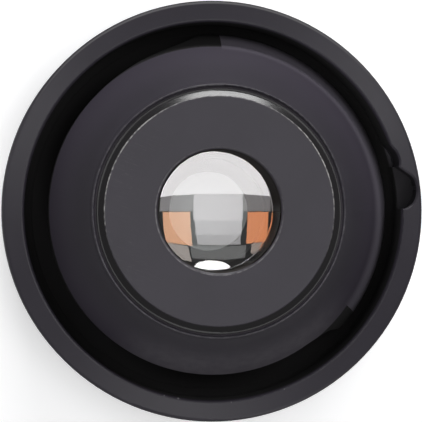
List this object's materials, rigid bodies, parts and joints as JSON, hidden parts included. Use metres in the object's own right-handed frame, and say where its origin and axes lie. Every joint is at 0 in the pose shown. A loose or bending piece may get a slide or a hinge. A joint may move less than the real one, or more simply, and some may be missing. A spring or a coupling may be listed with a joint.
{
  "type": "fisheye lens",
  "caption": "Small black fisheye converter lens with a domed front glass, a fluted front bezel, a grooved rear rim with a locating notch and a raised boss round a small rear glass.",
  "frame": {"origin": "centre of the front bezel's lip, on the optical axis, where the lens stands front down", "axes": "+Z along the optical axis, from the front glass to the rear boss; +X towards the locating notch"},
  "size_m": [0.036, 0.036, 0.0238],
  "materials": {
    "black_anodised": "fine matte black",
    "boss_black": "fine matte black, turned chamfer with worn edge",
    "bezel_black": "satin black",
    "inner_black": "dull black",
    "optical_glass": "polished and coated",
    "seal_rubber": "matte",
    "brass": "rolled",
    "steel": "plain"
  },
  "bodies": {
    "root": {"outer_housing": "black_anodised", "rear_cover": "black_anodised", "rear_cell": "boss_black", "rear_element": "optical_glass", "rear_spacer": "inner_black", "doublet_crown": "optical_glass", "doublet_flint": "optical_glass", "doublet_retainer": "inner_black", "light_stop": "inner_black", "front_cell": "inner_black", "second_element": "optical_glass", "front_spacer": "inner_black", "front_element": "optical_glass", "front_seal": "seal_rubber", "front_bezel": "bezel_black", "spacing_shim": "brass", "cover_screws": "steel", "index_pin": "steel", "grub_screws": "steel"}
  },
  "joints": []
}
